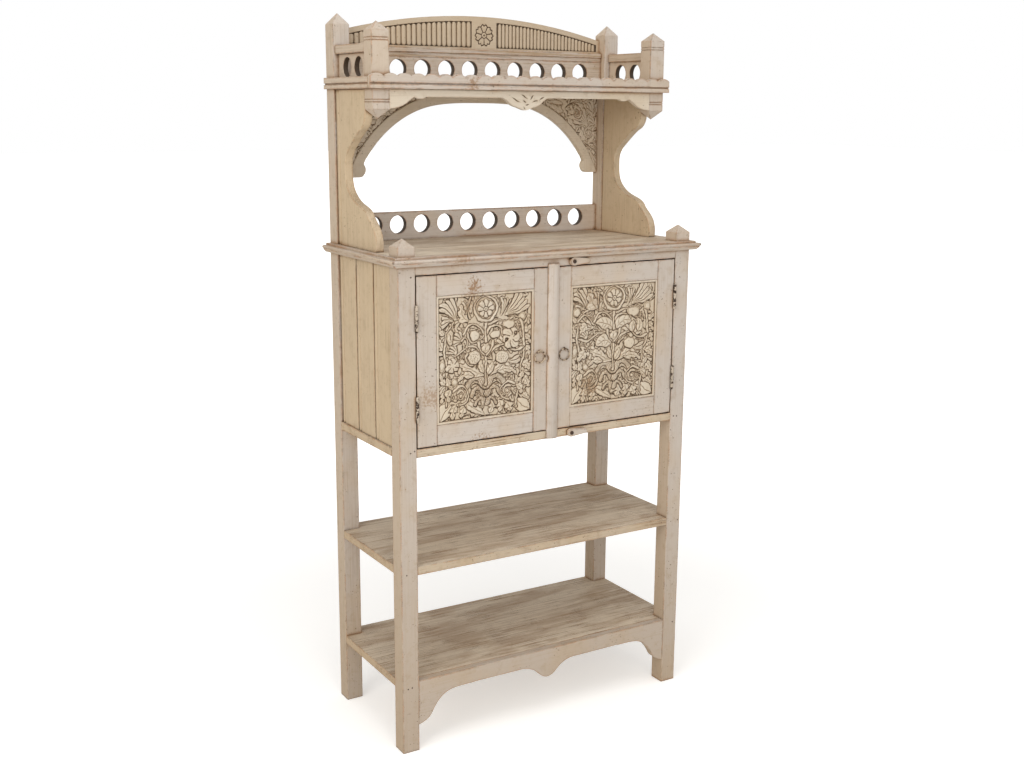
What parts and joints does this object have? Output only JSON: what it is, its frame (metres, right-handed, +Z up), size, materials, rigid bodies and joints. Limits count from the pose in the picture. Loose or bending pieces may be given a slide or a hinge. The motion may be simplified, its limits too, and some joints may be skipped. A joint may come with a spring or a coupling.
{
  "type": "trastero cabinet",
  "caption": "Tall trastero in worn painted wood: open stand, cupboard with carved swinging doors, moulded counter, set-back shelf with arched back, scalloped shelf edge and pierced gallery.",
  "frame": {"origin": "on the floor under the middle of the whole piece", "axes": "+Z up, -Y towards the front with the doors, +X to the right seen from the front"},
  "size_m": [0.842, 0.385, 1.702],
  "materials": {
    "cream_paint": "matt cream chalk paint over softwood, rubbed through at edges",
    "worn_shelf_paint": "cream paint worn to brown grain streaks",
    "warm_side_paint": "warm beige matt paint over softwood boards",
    "carved_paint": "cream paint with dark wax left in the carving",
    "bare_wood": "thinly painted softwood boards",
    "hinge_paint": "steel painted over with the cupboard",
    "ring_iron": "rusty iron wire with paint traces",
    "nail_iron": "dark iron heads"
  },
  "bodies": {
    "root": {"arch_board": "carved_paint", "back_boards": "bare_wood", "counter_moulding_front": "cream_paint", "counter_moulding_left": "cream_paint", "counter_moulding_right": "cream_paint", "counter_top": "worn_shelf_paint", "crest_board": "carved_paint", "cupboard_floor": "worn_shelf_paint", "front_left_post": "cream_paint", "front_right_post": "cream_paint", "gallery_cap_rear": "cream_paint", "gallery_rail_rear": "cream_paint", "hinge_frame_leaves": "hinge_paint", "hinge_pins": "hinge_paint", "left_shelf_moulding": "cream_paint", "left_side_cap": "cream_paint", "left_side_gallery": "cream_paint", "left_side_panelling": "warm_side_paint", "left_small_post": "cream_paint", "left_upper_side_board": "warm_side_paint", "lower_apron": "cream_paint", "lower_back_rail": "cream_paint", "lower_shelf": "worn_shelf_paint", "middle_shelf": "worn_shelf_paint", "nail_heads": "nail_iron", "rear_left_post": "cream_paint", "rear_right_post": "cream_paint", "right_shelf_moulding": "cream_paint", "right_side_cap": "cream_paint", "right_side_gallery": "cream_paint", "right_side_panelling": "warm_side_paint", "right_small_post": "cream_paint", "right_upper_side_board": "warm_side_paint", "scalloped_fascia": "cream_paint", "top_rail": "cream_paint", "turn_button_screws": "nail_iron", "upper_apron": "carved_paint", "upper_shelf": "worn_shelf_paint"},
    "left_door": {"left_door_bottom_rail": "cream_paint", "left_door_carved_panel": "carved_paint", "left_door_hinge_stile": "cream_paint", "left_door_meeting_stile": "cream_paint", "left_door_top_rail": "cream_paint", "left_hinge_door_leaves": "hinge_paint", "left_ring_eye": "ring_iron"},
    "right_door": {"right_door_bottom_rail": "cream_paint", "right_door_carved_panel": "carved_paint", "right_door_hinge_stile": "cream_paint", "right_door_meeting_stile": "cream_paint", "right_door_top_rail": "cream_paint", "right_hinge_door_leaves": "hinge_paint", "right_ring_eye": "ring_iron", "meeting_strip": "cream_paint"},
    "left_ring": {"left_ring_pull": "ring_iron"},
    "right_ring": {"right_ring_pull": "ring_iron"},
    "top_button": {"top_turn_button": "cream_paint"},
    "bottom_button": {"bottom_turn_button": "cream_paint"}
  },
  "joints": [
    {"name": "right_door_hinge", "type": "hinge", "parent": "root", "child": "right_door", "pos_m": [0.35675, -0.17555, 0.93], "axis": [0, 0, 1], "range_deg": [0, 170]},
    {"name": "left_door_hinge", "type": "hinge", "parent": "root", "child": "left_door", "pos_m": [-0.35675, -0.17555, 0.93], "axis": [0, 0, -1], "range_deg": [0, 170]},
    {"name": "left_ring_swing", "type": "hinge", "parent": "left_door", "child": "left_ring", "pos_m": [-0.036, -0.1756, 0.9297], "axis": [-1, 0, 0], "range_deg": [0, 110]},
    {"name": "right_ring_swing", "type": "hinge", "parent": "right_door", "child": "right_ring", "pos_m": [0.032, -0.1756, 0.9297], "axis": [-1, 0, 0], "range_deg": [0, 110]},
    {"name": "top_button_turn", "type": "hinge", "parent": "root", "child": "top_button", "pos_m": [0.053, -0.1715, 1.1354], "axis": [0, 1, 0], "range_deg": [0, 101]},
    {"name": "bottom_button_turn", "type": "hinge", "parent": "root", "child": "bottom_button", "pos_m": [0.053, -0.1715, 0.7232], "axis": [0, -1, 0], "range_deg": [0, 90]}
  ],
  "couplings": [
    {"joint": "left_door_hinge", "follows": "right_door_hinge", "ratio": 1}
  ]
}
